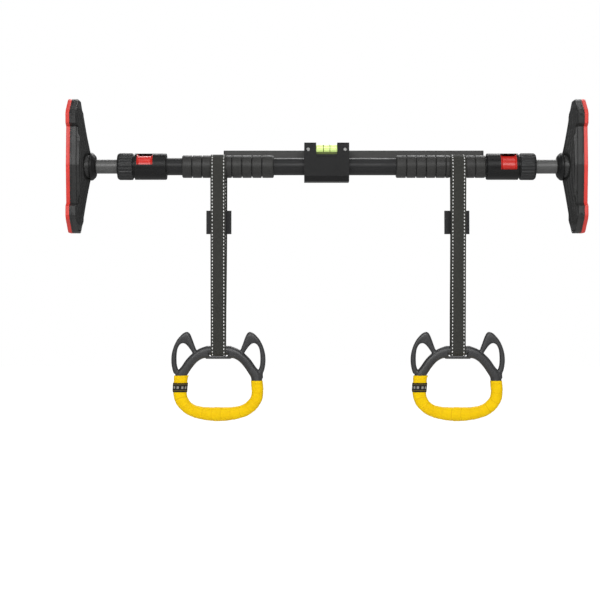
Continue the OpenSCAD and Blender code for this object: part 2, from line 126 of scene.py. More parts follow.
class Tree:
    """A material's node tree with one Principled shader, and short ways to add nodes to it."""

    def __init__(self, name):
        self.material = bpy.data.materials.new(name)
        self.material.use_nodes = True
        self.tree = self.material.node_tree
        self.shader = self.tree.nodes["Principled BSDF"]

    def set(self, **values):
        for key, value in values.items():
            self.shader.inputs[key.replace("_", " ")].default_value = value

    def node(self, kind, inputs=None, **settings):
        made = self.tree.nodes.new("ShaderNode" + kind)
        for key, value in settings.items():
            setattr(made, key, value)
        for key, value in (inputs or {}).items():
            self.feed(made.inputs[key], value)
        return made

    def feed(self, socket, value):
        if isinstance(value, bpy.types.NodeSocket):
            self.tree.links.new(value, socket)
        else:
            socket.default_value = value

    def place(self, stretch=(1, 1, 1), from_uv=False):
        coords = self.node("TexCoord")
        source = coords.outputs["UV" if from_uv else "Object"]
        if stretch == (1, 1, 1):
            return source
        return self.node("Mapping", {"Vector": source, "Scale": stretch}).outputs[0]

    def noise(self, scale, detail=2, rough=0.5, place=None):
        return self.node("TexNoise", {"Vector": place or self.place(), "Scale": scale, "Detail": detail,
                                      "Roughness": rough}).outputs["Fac"]

    def cells(self, scale):
        return self.node("TexVoronoi", {"Vector": self.place(), "Scale": scale}).outputs["Distance"]

    def math(self, operation, *values):
        return self.node("Math", dict(enumerate(values)), operation=operation).outputs[0]

    def ramp(self, value, low, high, out_low=0.0, out_high=1.0):
        return self.node("MapRange", {"Value": value, "From Min": low, "From Max": high, "To Min": out_low,
                                      "To Max": out_high}).outputs[0]

    def mix(self, amount, a, b):
        made = self.node("Mix", data_type="RGBA")
        self.feed(made.inputs[0], amount)
        self.feed(made.inputs[6], a)
        self.feed(made.inputs[7], b)
        return made.outputs[2]

    def bump(self, height, depth, strength=1.0, after=None):
        inputs = {"Height": height, "Distance": depth, "Strength": strength}
        if after is not None:
            inputs["Normal"] = after
        return self.node("Bump", inputs).outputs[0]

    def edges(self, radius):
        """1 near sharp edges of the shape and 0 on its flats."""
        round_normal = self.node("Bevel", {"Radius": radius}, samples=4).outputs[0]
        flat_normal = self.node("NewGeometry").outputs["Normal"]
        same = self.node("VectorMath", {0: round_normal, 1: flat_normal}, operation="DOT_PRODUCT")
        return self.ramp(same.outputs["Value"], 0.995, 0.86)

    def link(self, **values):
        for key, value in values.items():
            self.tree.links.new(value, self.shader.inputs[key.replace("_", " ")])


def shade(colour, factor):
    return tuple(min(1.0, c * factor) for c in colour[:3]) + (1,)


def moulded_plastic(name, colour, roughness, grain=0.00006, grain_scale=2600, wear=2.4, gloss=0.4):
    """Spark-textured moulded plastic with paler rubbed edges, faint dust and an uneven sheen."""
    t = Tree(name)
    t.set(Specular_IOR_Level=gloss)
    patch = t.noise(14, 4, 0.6)
    dust = t.noise(90, 6, 0.7)
    base = t.mix(t.ramp(patch, 0.3, 0.7), shade(colour, 0.86), shade(colour, 1.16))
    worn = t.math("MULTIPLY", t.edges(0.0007), t.ramp(t.noise(160, 4, 0.6), 0.35, 0.65))
    base = t.mix(t.math("MULTIPLY", worn, 0.55), base, shade(colour, wear))
    base = t.mix(t.ramp(dust, 0.62, 0.86, 0, 0.16), base, shade(colour, 1.9))
    rough = t.math("ADD", t.ramp(patch, 0.3, 0.7, roughness - 0.05, roughness + 0.05),
                   t.ramp(dust, 0.5, 0.8, 0, 0.07))
    pits = t.noise(grain_scale, 2, 0.55)
    waves = t.noise(60, 1)
    normal = t.bump(waves, 0.00035, 0.35)
    t.link(Base_Color=base, Roughness=rough, Normal=t.bump(pits, grain, 0.8, normal))
    return t.material


def coated_steel(name, colour, roughness, streak, gloss=0.5):
    """Satin coated steel: fine orange peel, faint streaks along or around it, and a few hairline scuffs."""
    t = Tree(name)
    t.set(Specular_IOR_Level=gloss, Coat_Weight=0.05, Coat_Roughness=0.3)
    lines = t.noise(1, 3, 0.55, t.place(streak))
    scuff = t.noise(1, 5, 0.75, t.place(tuple(0.35 * s for s in streak[::-1])))
    scuffs = t.ramp(scuff, 0.7, 0.76, 0, 0.5)
    base = t.mix(t.ramp(lines, 0.35, 0.65), shade(colour, 0.8), shade(colour, 1.22))
    base = t.mix(t.math("MULTIPLY", scuffs, 0.5), base, shade(colour, 2.6))
    base = t.mix(t.math("MULTIPLY", t.edges(0.0005), 0.5), base, shade(colour, 3.2))
    rough = t.math("ADD", t.ramp(lines, 0.3, 0.7, roughness - 0.05, roughness + 0.05),
                   t.ramp(t.noise(25, 4), 0.4, 0.7, 0, 0.08))
    peel = t.bump(t.noise(900, 2), 0.00004, 0.6)
    t.link(Base_Color=base, Roughness=rough, Normal=t.bump(lines, 0.00003, 0.5, peel))
    return t.material


def bare_metal(name, colour, roughness, streak):
    """Plated or bare metal with fine machining lines, stains and brighter edges."""
    t = Tree(name)
    t.set(Metallic=1.0)
    lines = t.noise(1, 4, 0.6, t.place(streak))
    stain = t.noise(120, 5, 0.65)
    base = t.mix(t.ramp(stain, 0.4, 0.75), shade(colour, 1.05), shade(colour, 0.72))
    base = t.mix(t.edges(0.0003), base, shade(colour, 1.3))
    rough = t.math("ADD", t.ramp(lines, 0.3, 0.7, roughness - 0.07, roughness + 0.07),
                   t.ramp(stain, 0.5, 0.8, 0, 0.15))
    t.link(Base_Color=base, Roughness=rough, Normal=t.bump(lines, 0.00003, 0.6))
    return t.material


def foam_skin():
    """Closed-cell foam: a soft skin with fine pores, rubbed patches, and painted shade in the pores and in the
    grooves.
    """
    t = Tree("foam_skin")
    colour = (0.021, 0.0205, 0.019)
    t.set(Specular_IOR_Level=0.42, Sheen_Weight=0.03, Sheen_Roughness=0.6)
    pores = t.cells(1500)
    fine = t.noise(5200, 2)
    patch = t.noise(22, 5, 0.6)
    base = t.mix(t.ramp(patch, 0.3, 0.7), shade(colour, 0.75), shade(colour, 1.3))
    # Painted shade: the pits of the pores are darkened.
    base = t.mix(t.ramp(pores, 0.1, 0.5, 0.5, 0), base, shade(colour, 0.35))
    base = t.mix(t.math("MULTIPLY", t.edges(0.0009), 0.2), base, shade(colour, 1.8))
    # Painted shade: the grooves, deeper than about 1 mm below the skin, are darkened almost to black.
    parts = t.node("SeparateXYZ", {0: t.place()})
    squares = [t.math("POWER", parts.outputs[k], 2) for k in (1, 2)]
    depth = t.math("SUBTRACT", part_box("left_foam_grip")[1].z, t.math("SQRT", t.math("ADD", *squares)))
    base = t.mix(t.ramp(depth, 1.0 * MM, 1.6 * MM), base, shade(colour, 0.08))
    rough = t.ramp(patch, 0.3, 0.7, 0.44, 0.58)
    normal = t.bump(pores, 0.00010, 0.6)
    t.link(Base_Color=base, Roughness=rough, Normal=t.bump(fine, 0.00004, 0.6, normal))
    return t.material


def rubber(name, colour, roughness, gloss=0.35):
    """Soft moulded rubber: pinhole pores, bloom, darker grime and pale scuffed edges."""
    t = Tree(name)
    t.set(Specular_IOR_Level=gloss)
    bloom = t.noise(18, 5, 0.65)
    grime = t.noise(55, 6, 0.7)
    base = t.mix(t.ramp(bloom, 0.3, 0.7), shade(colour, 0.9), shade(colour, 1.08))
    base = t.mix(t.ramp(grime, 0.55, 0.8, 0, 0.3), base, shade(colour, 0.55))
    base = t.mix(t.math("MULTIPLY", t.edges(0.0008), 0.35), base, shade(colour, 1.5))
    pits = t.cells(2200)
    rough = t.math("ADD", t.ramp(bloom, 0.3, 0.7, roughness - 0.06, roughness + 0.06),
                   t.ramp(grime, 0.5, 0.8, 0, 0.1))
    t.link(Base_Color=base, Roughness=rough, Normal=t.bump(pits, 0.00005, 0.6))
    return t.material


def twill_webbing(name, colour):
    """Woven webbing: diagonal twill ribs over fine yarns, with fuzz and faded wear. UVs are in metres."""
    t = Tree(name)
    t.set(Specular_IOR_Level=0.25, Sheen_Weight=0.05, Sheen_Roughness=0.5)
    place = t.place(from_uv=True)
    parts = t.node("SeparateXYZ", {0: place})
    across, along = parts.outputs[0], parts.outputs[1]
    turn = 2 * math.pi / TWILL_PITCH
    slanted = t.math("ADD", t.math("MULTIPLY", across, turn), t.math("MULTIPLY", along, turn))
    ribs = t.math("SINE", slanted)
    yarns = t.math("SINE", t.math("MULTIPLY", across, turn * 2.1))
    picks = t.math("SINE", t.math("MULTIPLY", along, turn * 2.1))
    crossings = t.math("MULTIPLY", t.math("MULTIPLY", yarns, picks), 0.4)
    weave = t.math("ADD", t.math("MULTIPLY", ribs, 0.6), crossings)
    fuzz = t.noise(2600, 4, 0.7)
    fade = t.noise(16, 5, 0.6)
    base = t.mix(t.ramp(weave, -0.8, 0.8), shade(colour, 0.4), shade(colour, 1.9))
    base = t.mix(t.ramp(fade, 0.35, 0.75, 0, 0.4), base, shade(colour, 1.6))
    base = t.mix(t.ramp(fuzz, 0.55, 0.8, 0, 0.35), base, shade(colour, 2.4))
    normal = t.bump(weave, 0.00022, 0.9)
    t.link(Base_Color=base, Roughness=t.ramp(fade, 0.3, 0.7, 0.7, 0.88),
           Normal=t.bump(fuzz, 0.00008, 0.6, normal))
    return t.material


def woven_band():
    """Black woven band with a plain woven-in row of pale blocks. UVs are in metres."""
    t = Tree("woven_band")
    t.set(Specular_IOR_Level=0.25, Sheen_Weight=0.05)
    parts = t.node("SeparateXYZ", {0: t.place(from_uv=True)})
    across, along = parts.outputs[0], parts.outputs[1]
    threads = t.math("MULTIPLY", t.math("SINE", t.math("MULTIPLY", across, 5200)),
                     t.math("SINE", t.math("MULTIPLY", along, 5200)))
    base = t.mix(t.ramp(threads, -0.8, 0.8), (0.004, 0.004, 0.004, 1), (0.018, 0.016, 0.015, 1))
    repeat = t.math("FRACT", t.math("MULTIPLY", across, 1 / (BLOCK_PITCH * MM)))
    spot = t.math("ABSOLUTE", t.math("SUBTRACT", repeat, 0.5))
    row = t.math("ABSOLUTE", t.math("SUBTRACT", along, BAND_MIDDLE * MM))
    block = t.math("MULTIPLY", t.ramp(spot, 0.30, 0.24), t.ramp(row, 2.4 * MM, 2.0 * MM))
    edge = t.math("MULTIPLY", t.ramp(row, 4.9 * MM, 5.1 * MM), t.ramp(row, 5.9 * MM, 5.7 * MM))
    base = t.mix(t.math("MULTIPLY", block, 0.8), base, (0.42, 0.40, 0.36, 1))
    base = t.mix(t.math("MULTIPLY", edge, 0.6), base, (0.30, 0.22, 0.04, 1))
    rough = t.ramp(t.noise(1500, 3, 0.6), 0.3, 0.7, 0.6, 0.8)
    t.link(Base_Color=base, Roughness=rough, Normal=t.bump(threads, 0.00012, 0.8))
    return t.material


def grip_tape():
    """Yellow rubber grip tape: fine crazed skin, soft creases with painted shade, and laps with painted shade.
    UVs are in metres.
    """
    t = Tree("grip_tape")
    colour = (1.0, 0.63, 0.002)
    t.set(Specular_IOR_Level=0.10, Subsurface_Weight=0.05, Subsurface_Scale=0.002, Sheen_Weight=0.02)
    t.set(Subsurface_Radius=(0.9, 0.6, 0.1))
    place = t.place(from_uv=True)
    crease = t.noise(1, 4, 0.65, t.node("Mapping", {"Vector": place, "Scale": (30, 420, 1)}).outputs[0])
    skin = t.cells(1700)
    patch = t.noise(26, 4, 0.6)
    base = t.mix(t.ramp(patch, 0.3, 0.7), shade(colour, 0.93), shade(colour, 1.05))
    # Painted shade: the creases are darkened.
    base = t.mix(t.ramp(crease, 0.62, 0.8, 0, 0.5), base, (0.78, 0.42, 0.006, 1))
    parts = t.node("SeparateXYZ", {0: place})
    angle = t.math("MULTIPLY", parts.outputs[0], 1 / (GIRTH_R * MM))
    swing = t.math("MULTIPLY", t.math("SINE", angle), WRAP_SWAY)
    lap = t.math("FRACT", t.math("ADD", t.math("MULTIPLY", parts.outputs[1], 1 / (WRAP_PITCH * MM)), swing))
    # Painted shade: the edge where each turn laps the last is darkened, by an amount that varies over the tape.
    lap_shade = t.math("MULTIPLY", t.ramp(lap, 0.88, 0.95), t.ramp(lap, 1.0, 0.97))
    base = t.mix(t.math("MULTIPLY", lap_shade, t.ramp(patch, 0.42, 0.6, 0.15, 0.6)), base, (0.66, 0.34, 0.004, 1))
    base = t.mix(t.ramp(t.noise(240, 5, 0.7), 0.62, 0.85, 0, 0.25), base, (0.6, 0.36, 0.02, 1))
    rough = t.ramp(patch, 0.3, 0.7, 0.5, 0.66)
    normal = t.bump(crease, 0.0003, 0.5)
    t.link(Base_Color=base, Roughness=rough, Normal=t.bump(skin, 0.00006, 0.7, normal))
    return t.material


def floor_paint():
    """The studio's plain pale floor."""
    t = Tree("pale_floor")
    t.set(Specular_IOR_Level=0.1, Emission_Color=(1, 1, 1, 1))
    speck = t.noise(3, 3)
    base = t.mix(speck, (0.80, 0.80, 0.80, 1), (0.84, 0.84, 0.84, 1))
    t.link(Base_Color=base, Roughness=t.ramp(speck, 0, 1, 0.7, 0.8))
    t.link(Emission_Strength=t.ramp(t.node("LightPath").outputs["Is Camera Ray"], 0, 1, 0.05, 0.95))
    return t.material


def stitch_thread():
    """Twisted pale thread, slightly soiled, with a faint painted glow."""
    t = Tree("stitch_thread")
    colour = (0.86, 0.86, 0.84)
    # The emission is a painted glow that brightens the thread.
    t.set(Specular_IOR_Level=0.6, Sheen_Weight=0.3, Emission_Color=(1, 1, 1, 1), Emission_Strength=0.10)
    twist = t.noise(3000, 2)
    soil = t.noise(130, 4)
    base = t.mix(t.ramp(soil, 0.4, 0.7), colour + (1,), shade(colour, 0.6))
    t.link(Base_Color=base, Roughness=t.ramp(twist, 0.3, 0.7, 0.35, 0.6),
           Normal=t.bump(twist, 0.0001, 0.8))
    return t.material


def level_liquid():
    """The vial's tinted acrylic and liquid, with a painted glow."""
    t = Tree("level_liquid")
    t.set(Specular_IOR_Level=0.6, Transmission_Weight=0.1, IOR=1.4, Coat_Weight=0.6, Coat_Roughness=0.06)
    # Painted glow: the liquid gives off light though it is no lamp.
    t.set(Emission_Color=(0.80, 0.95, 0.42, 1), Emission_Strength=0.40)
    haze = t.noise(160, 3)
    depth = t.noise(40, 2)
    base = t.mix(t.ramp(depth, 0.3, 0.7), (0.56, 0.72, 0.16, 1), (0.68, 0.84, 0.30, 1))
    t.link(Base_Color=base, Roughness=t.ramp(haze, 0.3, 0.7, 0.06, 0.2),
           Normal=t.bump(t.noise(500, 2), 0.00002, 0.3))
    return t.material


def make_materials():
    black = (0.0085, 0.0085, 0.0088)
    return {
        "tube_steel": coated_steel("tube_coating", (0.0105, 0.0105, 0.011), 0.46, (12, 900, 900), 0.3),
        "rod_steel": coated_steel("rod_coating", (0.034, 0.034, 0.032), 0.50, (1500, 60, 60), 1.2),
        "rail_steel": coated_steel("rail_coating", (0.036, 0.035, 0.033), 0.48, (10, 700, 700)),
        "foam": foam_skin(),
        "housing_plastic": moulded_plastic("housing_plastic", (0.0062, 0.0062, 0.0064), 0.42, gloss=0.24),
        "nut_plastic": moulded_plastic("nut_plastic", (0.0130, 0.0135, 0.0140), 0.44, wear=3),
        "plate_plastic": moulded_plastic("plate_plastic", (0.014, 0.014, 0.0135), 0.44, 0.00006, 1500,
                                         gloss=0.5),
        "black_plastic": moulded_plastic("black_plastic", black, 0.42),
        # The cradle's own plastic is pale; this dark olive is painted shade with a painted green reflection of
        # the vial.
        "pale_plastic": moulded_plastic("pale_plastic", (0.10, 0.13, 0.015), 0.4, wear=1.2),
        "vial_green": level_liquid(),
        "zinc_steel": bare_metal("zinc_plate", (0.34, 0.34, 0.33), 0.34, (700, 90, 90)),
        "brass": bare_metal("brass", (0.78, 0.56, 0.24), 0.28, (900, 60, 60)),
        "red_plastic": moulded_plastic("red_plastic", (0.66, 0.022, 0.014), 0.32, 0.00003, 2200, 1.35, 0.5),
        "red_rubber": rubber("red_rubber", (0.74, 0.040, 0.028), 0.42, 0.5),
        "webbing": twill_webbing("twill_webbing", (0.033, 0.033, 0.029)),
        "buckle_metal": coated_steel("buckle_coating", (0.007, 0.007, 0.008), 0.42, (400, 400, 60), 0.35),
        "ring_plastic": moulded_plastic("ring_plastic", (0.0185, 0.0185, 0.0195), 0.46, 0.00006, 1900,
                                        2.2, 0.7),
        "yellow_wrap": grip_tape(),
        "band_fabric": woven_band(),
        "stitch": stitch_thread(),
        "bubble": moulded_plastic("air_bubble", (0.90, 0.96, 0.74), 0.12, 0.00001, 900, 1.0, 0.6),
    }


# ---- mesh tools ----


def make_piece(name, points, faces, material, uvs=None, smooth=True):
    """A mesh object from points in metres; uvs holds one pair for each point."""
    mesh = bpy.data.meshes.new(name)
    mesh.from_pydata([tuple(p) for p in points], [], faces)
    if uvs is not None:
        layer = mesh.uv_layers.new(name="UVMap")
        at = np.empty(len(mesh.loops), np.int32)
        mesh.loops.foreach_get("vertex_index", at)
        layer.data.foreach_set("uv", np.asarray(uvs, np.float32)[at].ravel())
    mesh.materials.append(material)
    mesh.polygons.foreach_set("use_smooth", [smooth] * len(mesh.polygons))
    mesh.validate()
    piece = bpy.data.objects.new(name, mesh)
    scene.collection.objects.link(piece)
    return piece


def grid_faces(rows, columns, close_rows=False, close_columns=True):
    """Quads of a grid of points, wound so that rows x columns points outward."""
    at = np.arange(rows * columns).reshape(rows, columns)
    down = np.roll(at, -1, 0) if close_rows else at[1:]
    here = at if close_rows else at[:-1]
    if close_columns:
        right, right_down = np.roll(here, -1, 1), np.roll(down, -1, 1)
    else:
        here, right, down, right_down = here[:, :-1], here[:, 1:], down[:, :-1], down[:, 1:]
    return np.stack([here, right, right_down, down], -1).reshape(-1, 4).tolist()


def tube_mesh(rings, flip=False):
    """Points and faces of a closed skin through rings of points, shaped (rings, around, 3)."""
    count, around = rings.shape[:2]
    faces = grid_faces(count, around)
    faces.append(list(range(around))[::-1])
    faces.append(list(range((count - 1) * around, count * around)))
    if flip:
        faces = [f[::-1] for f in faces]
    return rings.reshape(-1, 3), faces


def joined(parts):
    """One list of points and one of faces from several."""
    points, faces, first = [], [], 0
    for p, f in parts:
        points.append(np.asarray(p, float))
        faces += [[i + first for i in face] for face in f]
        first += len(p)
    return np.concatenate(points), faces


def smooth(value, low, high):
    """0 at low, 1 at high and a soft step between; low may be the greater of the two."""
    t = np.clip((value - low) / (high - low), 0, 1)
    return t * t * (3 - 2 * t)


def spline(stations, count):
    """A smooth line of count points through stations, with every column interpolated."""
    s = np.asarray(stations, float)
    pad = np.vstack([2 * s[0] - s[1], s, 2 * s[-1] - s[-2]])
    t = np.linspace(0, len(s) - 1 - 1e-9, count)
    i = t.astype(int)
    u = (t - i)[:, None]
    a, b, c, d = pad[i], pad[i + 1], pad[i + 2], pad[i + 3]
    return 0.5 * (2 * b + (c - a) * u + (2 * a - 5 * b + 4 * c - d) * u**2 + (3 * b - a - 3 * c + d) * u**3)


def lathe(profile, around=96):
    """Rings about the X axis from a profile of (x, radius) in metres."""
    angle = np.arange(around) * 2 * math.pi / around
    p = np.asarray(profile, float)
    x = np.repeat(p[:, :1], around, 1)
    return np.stack([x, p[:, 1:] * np.cos(angle), p[:, 1:] * np.sin(angle)], -1)


def rounded(profile, radius, steps=4):
    """A profile of points with each inner corner cut by an arc-like curve."""
    p = np.asarray(profile, float)
    out = [p[0]]
    for a, b, c in zip(p[:-2], p[1:-1], p[2:]):
        before, after = np.linalg.norm(a - b), np.linalg.norm(c - b)
        r = min(radius, 0.45 * before, 0.45 * after)
        start, end = b + (a - b) / before * r, b + (c - b) / after * r
        for k in range(steps + 1):
            u = k / steps
            out.append((1 - u) ** 2 * start + 2 * u * (1 - u) * b + u * u * end)
    out.append(p[-1])
    return np.array(out)


def soften(piece, width, segments=2):
    """Rounds a CAD node's hard edges with modifiers; its own mesh stays as it is."""
    hard_edge = math.radians(32)
    weld = piece.modifiers.new("weld", "WELD")
    weld.merge_threshold = 0.00001
    bevel = piece.modifiers.new("bevel", "BEVEL")
    bevel.width = width
    bevel.segments = segments
    bevel.limit_method = "ANGLE"
    bevel.angle_limit = hard_edge
    bevel.harden_normals = False
    bevel.miter_outer = "MITER_ARC"
    normals = piece.modifiers.new("normals", "WEIGHTED_NORMAL")
    normals.keep_sharp = True


def place(piece, body, slot, *replaced):
    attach(piece, body)
    if replaced:
        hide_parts(*replaced)
    return piece


# ---- CAD nodes that stay, with their own finish ----


def dress_nodes(materials):
    slots = {}
    for part in frame["record"]["subparts"]:
        slots[part["node"]] = part["material_slot"]
    for name, node in nodes.items():
        node.data.materials.clear()
        node.data.materials.append(materials[slots[name]])
    for name in ("housing_front", "housing_rear"):
        soften(nodes[name], 0.0010, 3)
    for name in ("level_cradle", "rail_saddles", "rail_end_caps", "back_rail"):
        soften(nodes[name], 0.0004)
    for side, _ in SIDES:
        for name, width in (("collar", 0.0004), ("hub", 0.0006), ("buckle", 0.0004), ("cam_lever", 0.0004),
                            ("button", 0.0004), ("plate_bolt", 0.0004)):
            soften(nodes[f"{side}_{name}"], width)


# ---- foam grips and lock nuts: turned forms ----

TUBE_R = 16 * MM
GROOVES = {"left": (-249.5, 18.5), "right": (148.0, 18.2)}  # first groove and spacing, mm
GROOVE_COUNT = 8
NUT_R = 25.0  # mm over the ribs
NUT_STEP = 379.8 * MM  # where the nut's bore widens, from the bar's middle


def make_foam_grip(side, material):
    low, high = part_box(f"{side}_foam_grip")
    r, bore = high.z, TUBE_R + 0.05 * MM
    first, step = (v * MM for v in GROOVES[side])
    deep, half = 2.4 * MM, 1.0 * MM
    profile = [(low.x, bore), (low.x, r - 2.2 * MM), (low.x + 0.4 * MM, r - 1.2 * MM), (low.x + 2.0 * MM, r)]
    for i in range(GROOVE_COUNT):
        x = first + i * step
        profile += [(x - half, r), (x - 0.7 * half, r - deep), (x + 0.7 * half, r - deep), (x + half, r)]
        if i < GROOVE_COUNT - 1:
            profile += [(x + half + (step - 2 * half) * k / 4, r) for k in (1, 2, 3)]
    profile += [(high.x - 2.0 * MM, r), (high.x - 0.4 * MM, r - 1.2 * MM)]
    profile += [(high.x, r - 2.2 * MM), (high.x, bore)]
    rings = lathe(rounded(profile, 0.45 * MM, 3), 112)
    radius = np.linalg.norm(rings[:, :, 1:], axis=2)
    angle = np.arctan2(rings[:, :, 2], rings[:, :, 1])
    wobble = np.sin(rings[:, :, 0] * 71 + 2 * angle) + 0.6 * np.sin(rings[:, :, 0] * 163 - 3 * angle + 1.3)
    outer = radius > bore + 2 * MM
    pressed = outer * smooth(np.abs(rings[:, :, 0] - SLING_X[side]), 16.5 * MM, 14 * MM)
    rings[:, :, 1:] *= (1 - pressed * FOAM_DENT / r)[:, :, None]
    rings[:, :, 1:] *= (1 - outer * 0.004 * (1 + wobble / 1.6) / 2)[:, :, None]
    points, faces = rings.reshape(-1, 3), grid_faces(len(rings), 112, close_rows=True)
    grip = make_piece(f"{side}_grip_foam", points, faces, material)
    place(grip, "bar", "foam", f"{side}_foam_grip")


def make_lock_nut(side, sign, material):
    """Rounded grip ribs that run out into a bevel at both ends, over the nut's stepped bore."""
    low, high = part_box(f"{side}_lock_nut")
    near, far = sorted((abs(low.x), abs(high.x)))
    r, ribs, around = high.z, 24, 24 * 14
    # rows of (x, radius, rib depth)
    rows = [(near, 21.1, 0), (near, 22.6, 0), (near, 23.2, 0), (near + 0.4 * MM, 23.9, 0.3),
            (near + 1.3 * MM, 24.7, 0.8), (near + 2.4 * MM, NUT_R, 1.1)]
    rows += [(near + (far - near) * k / 12, NUT_R, 1.15) for k in range(2, 10)]
    rows += [(far - 5.0 * MM, NUT_R, 1.1), (far - 3.2 * MM, 24.7, 0.8), (far - 1.6 * MM, 23.6, 0.25),
             (far - 0.5 * MM, 22.5, 0), (far - 0.1 * MM, 22.0, 0), (far, 21.5, 0), (far, 17.5, 0),
             (far - 0.5 * MM, 16.8, 0), (far - 0.5 * MM, 14.6, 0), (far - 0.9 * MM, 13.7, 0),
             (NUT_STEP, 13.6, 0), (NUT_STEP, 21.1, 0)]
    angle = np.arange(around) * 2 * math.pi / around
    crest = np.tanh(2.4 * np.cos(ribs * angle)) / math.tanh(2.4)
    rings = []
    for x, radius, depth in rows:
        rr = radius * MM * r / (NUT_R * MM) - depth * MM * (1 - crest) / 2
        rings.append(np.stack([np.full(around, sign * x), rr * np.cos(angle), rr * np.sin(angle)], -1))
    rings = np.array(rings)
    faces = grid_faces(len(rows), around, close_rows=True)
    if sign < 0:
        faces = [f[::-1] for f in faces]
    nut = make_piece(f"{side}_ribbed_nut", rings.reshape(-1, 3), faces, material)
    place(nut, f"{side}_lock_nut", "nut_plastic", f"{side}_lock_nut")


# ---- end plates and pads: a grid of rows across the plate's outline ----

# half widths of the outline, as (height, half width) in mm from the middle up
OUTLINE = ((0, 50), (70, 44), (76, 54), (93, 55), (100, 50), (120.5, 22), (123.5, 16))


def outline_rows(step):
    """Heights for a grid's rows: every corner of the outline has a row, and rows are at most step apart."""
    heights = [0.0]
    for (z0, _), (z1, _) in zip(OUTLINE[:-1], OUTLINE[1:]):
        count = max(1, math.ceil((z1 - z0) / step))
        heights += [z0 + (z1 - z0) * (k + 1) / count for k in range(count)]
    up = np.array(heights)
    return np.concatenate([-up[:0:-1], up])


def half_width(z):
    table = np.array(OUTLINE, float)
    return np.interp(np.abs(z), table[:, 0], table[:, 1])


def plate_grid(step, columns):
    z = outline_rows(step)
    u = np.linspace(-1, 1, columns)
    u = np.sign(u) * (1 - (1 - np.abs(u)) ** 1.15)
    yy = half_width(z)[:, None] * u[None]
    zz = np.repeat(z[:, None], columns, 1)
    edge = np.minimum((1 - np.abs(u))[None] * half_width(z)[:, None], OUTLINE[-1][0] - np.abs(zz))
    return yy, zz, edge


def border(rows, columns):
    """Point numbers round the edge of a grid, in order."""
    at = np.arange(rows * columns).reshape(rows, columns)
    return np.concatenate([at[0], at[1:, -1], at[-1, -2::-1], at[-2:0:-1, 0]])


def slab_from_grid(yy, zz, face_x, wall, sign):
    """A closed slab: a relief face at x = face_x, a wall of (x, inset) steps, and one flat face."""
    rows, columns = yy.shape
    points = [np.stack([face_x, yy, zz], -1).reshape(-1, 3)]
    faces = grid_faces(rows, columns, close_columns=False)
    loop = border(rows, columns)
    rim = points[0][loop]
    centre_pull = rim[:, 1:] / np.linalg.norm(rim[:, 1:], axis=1)[:, None]
    first = len(points[0])
    last = list(loop)
    for x, inset in wall:
        ring = rim.copy()
        ring[:, 0] = x
        ring[:, 1:] -= centre_pull * inset
        points.append(ring)
        here = list(range(first, first + len(loop)))
        n = len(loop)
        faces += [[last[(i + 1) % n], last[i], here[i], here[(i + 1) % n]] for i in range(n)]
        last, first = here, first + n
    faces.append(last[::-1])
    points = np.concatenate(points) * MM
    points[:, 0] *= sign
    if sign < 0:
        faces = [f[::-1] for f in faces]
    return points, faces


SPINE_RISE = 32.6  # mm from the pad to the spine's top and the hub's seat
RIB_ROWS = (10, 19, 28, 37)  # each long rib's distance from the spine beside the hub, mm


def plate_relief(yy, zz, edge):
    """How far the plate stands out from its pad, in mm: a rim, faces sloping up to a spine, and long ribs."""
    y, z = np.abs(yy), np.abs(zz)
    radius = np.hypot(y, z)
    rim = 9.4 + 2.4 * smooth(edge, 5.0, 3.0)
    spine = np.clip(SPINE_RISE - 0.212 * np.maximum(z - 24, 0), 11.6, SPINE_RISE)
    foot = 10.6 + 4.0 * smooth(z, 90, 10)
    slope = spine - (spine - foot) * np.clip(y / 47, 0, 1) ** 0.85
    for row in RIB_ROWS:
        off = np.abs(y - row * (1 + 0.22 * smooth(z, 20, 110)))
        slope = slope + 2.6 * smooth(off, 2.3, 0.9) * smooth(radius, 26, 34) * smooth(z, 112, 100)
    slope = np.minimum(slope, spine)
    height = np.where(edge > 6.5, np.maximum(slope, rim), rim)
    collar = SPINE_RISE - 26 * smooth(radius, 20, 27)
    return np.maximum(height, collar)


def make_plate(side, sign, material):
    yy, zz, edge = plate_grid(1.3, 121)
    pad_in = abs(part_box(f"{side}_pad")[0 if sign > 0 else 1].x) / MM
    x = pad_in - plate_relief(yy, zz, edge)
    x = x + 0.9 * smooth(edge, 1.0, 0.0)
    wall = [(pad_in - 10.6, 0.0), (pad_in - 4.2, 0.0), (pad_in - 3.9, 0.5), (pad_in - 3.2, 0.5),
            (pad_in - 2.9, 0.0), (pad_in - 0.5, 0.0), (pad_in - 0.02, 0.4)]
    points, faces = slab_from_grid(yy, zz, x, wall, sign)
    faces = [f[::-1] for f in faces]
    plate = make_piece(f"{side}_ribbed_plate", points, faces, material)
    mark_sharp(plate, 38)
    place(plate, f"{side}_leg", "plate_plastic", f"{side}_plate")


def make_pad(side, sign, material):
    """The anti-slip pad: a border round chevron treads on the wall side, and a rounded edge."""
    yy, zz, edge = plate_grid(0.9, 97)
    low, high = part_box(f"{side}_pad")
    outer, inner = max(abs(low.x), abs(high.x)) / MM, min(abs(low.x), abs(high.x)) / MM
    phase = np.abs((zz + 0.45 * np.abs(yy)) / 8.0 % 1 - 0.5) * 8.0
    tread = smooth(phase, 1.5, 0.8) * smooth(edge, 4.5, 6.0)
    middle = smooth(np.abs(yy), 1.6, 0.8) * smooth(edge, 4.5, 6.0)
    border_line = smooth(np.abs(edge - 3.2), 0.8, 0.35)
    x = outer - 1.1 * np.maximum(np.maximum(tread, middle), 0.7 * border_line) - 0.8 * smooth(edge, 1.1, 0.0)
    wall = [(outer - 1.6, 0.0), (inner + 1.0, 0.0), (inner + 0.6, 0.35), (inner + 0.02, 0.4)]
    points, faces = slab_from_grid(yy, zz, x, wall, sign)
    pad = make_piece(f"{side}_rubber_pad", points, faces, material)
    mark_sharp(pad, 50)
    place(pad, f"{side}_leg", "red_rubber", f"{side}_pad")


